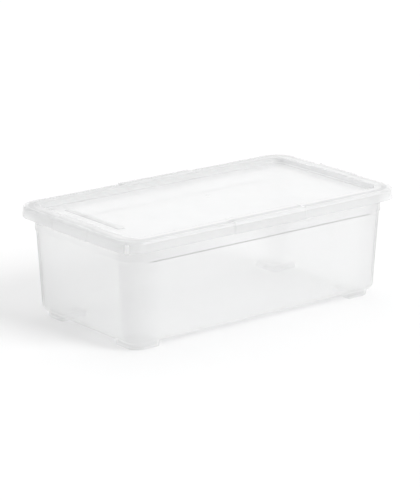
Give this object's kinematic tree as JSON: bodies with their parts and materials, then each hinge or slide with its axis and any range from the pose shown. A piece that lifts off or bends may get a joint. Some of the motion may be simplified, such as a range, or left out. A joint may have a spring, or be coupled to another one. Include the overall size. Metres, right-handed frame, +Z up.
{
  "type": "shoe box",
  "caption": "Clear stackable plastic shoe box: thin-walled rectangular tub with small corner feet and a press-on lid with a raised rim and flat recessed panel.",
  "frame": {"origin": "centre of the footprint, on the ground plane the feet stand on", "axes": "+X along the long side, +Y along the short side, +Z up"},
  "size_m": [0.34, 0.19, 0.1128],
  "materials": {
    "tub_plastic": "clear natural polypropylene, slightly milky, smooth gloss",
    "lid_plastic": "clear natural polypropylene, slightly milky, smooth gloss"
  },
  "bodies": {
    "tub": {"tub": "tub_plastic"},
    "lid": {"lid": "lid_plastic"}
  },
  "joints": [
    {"name": "lid_lift", "type": "slide", "parent": "tub", "child": "lid", "axis": [0, 0, 1], "range_m": [0, 0.12]}
  ]
}
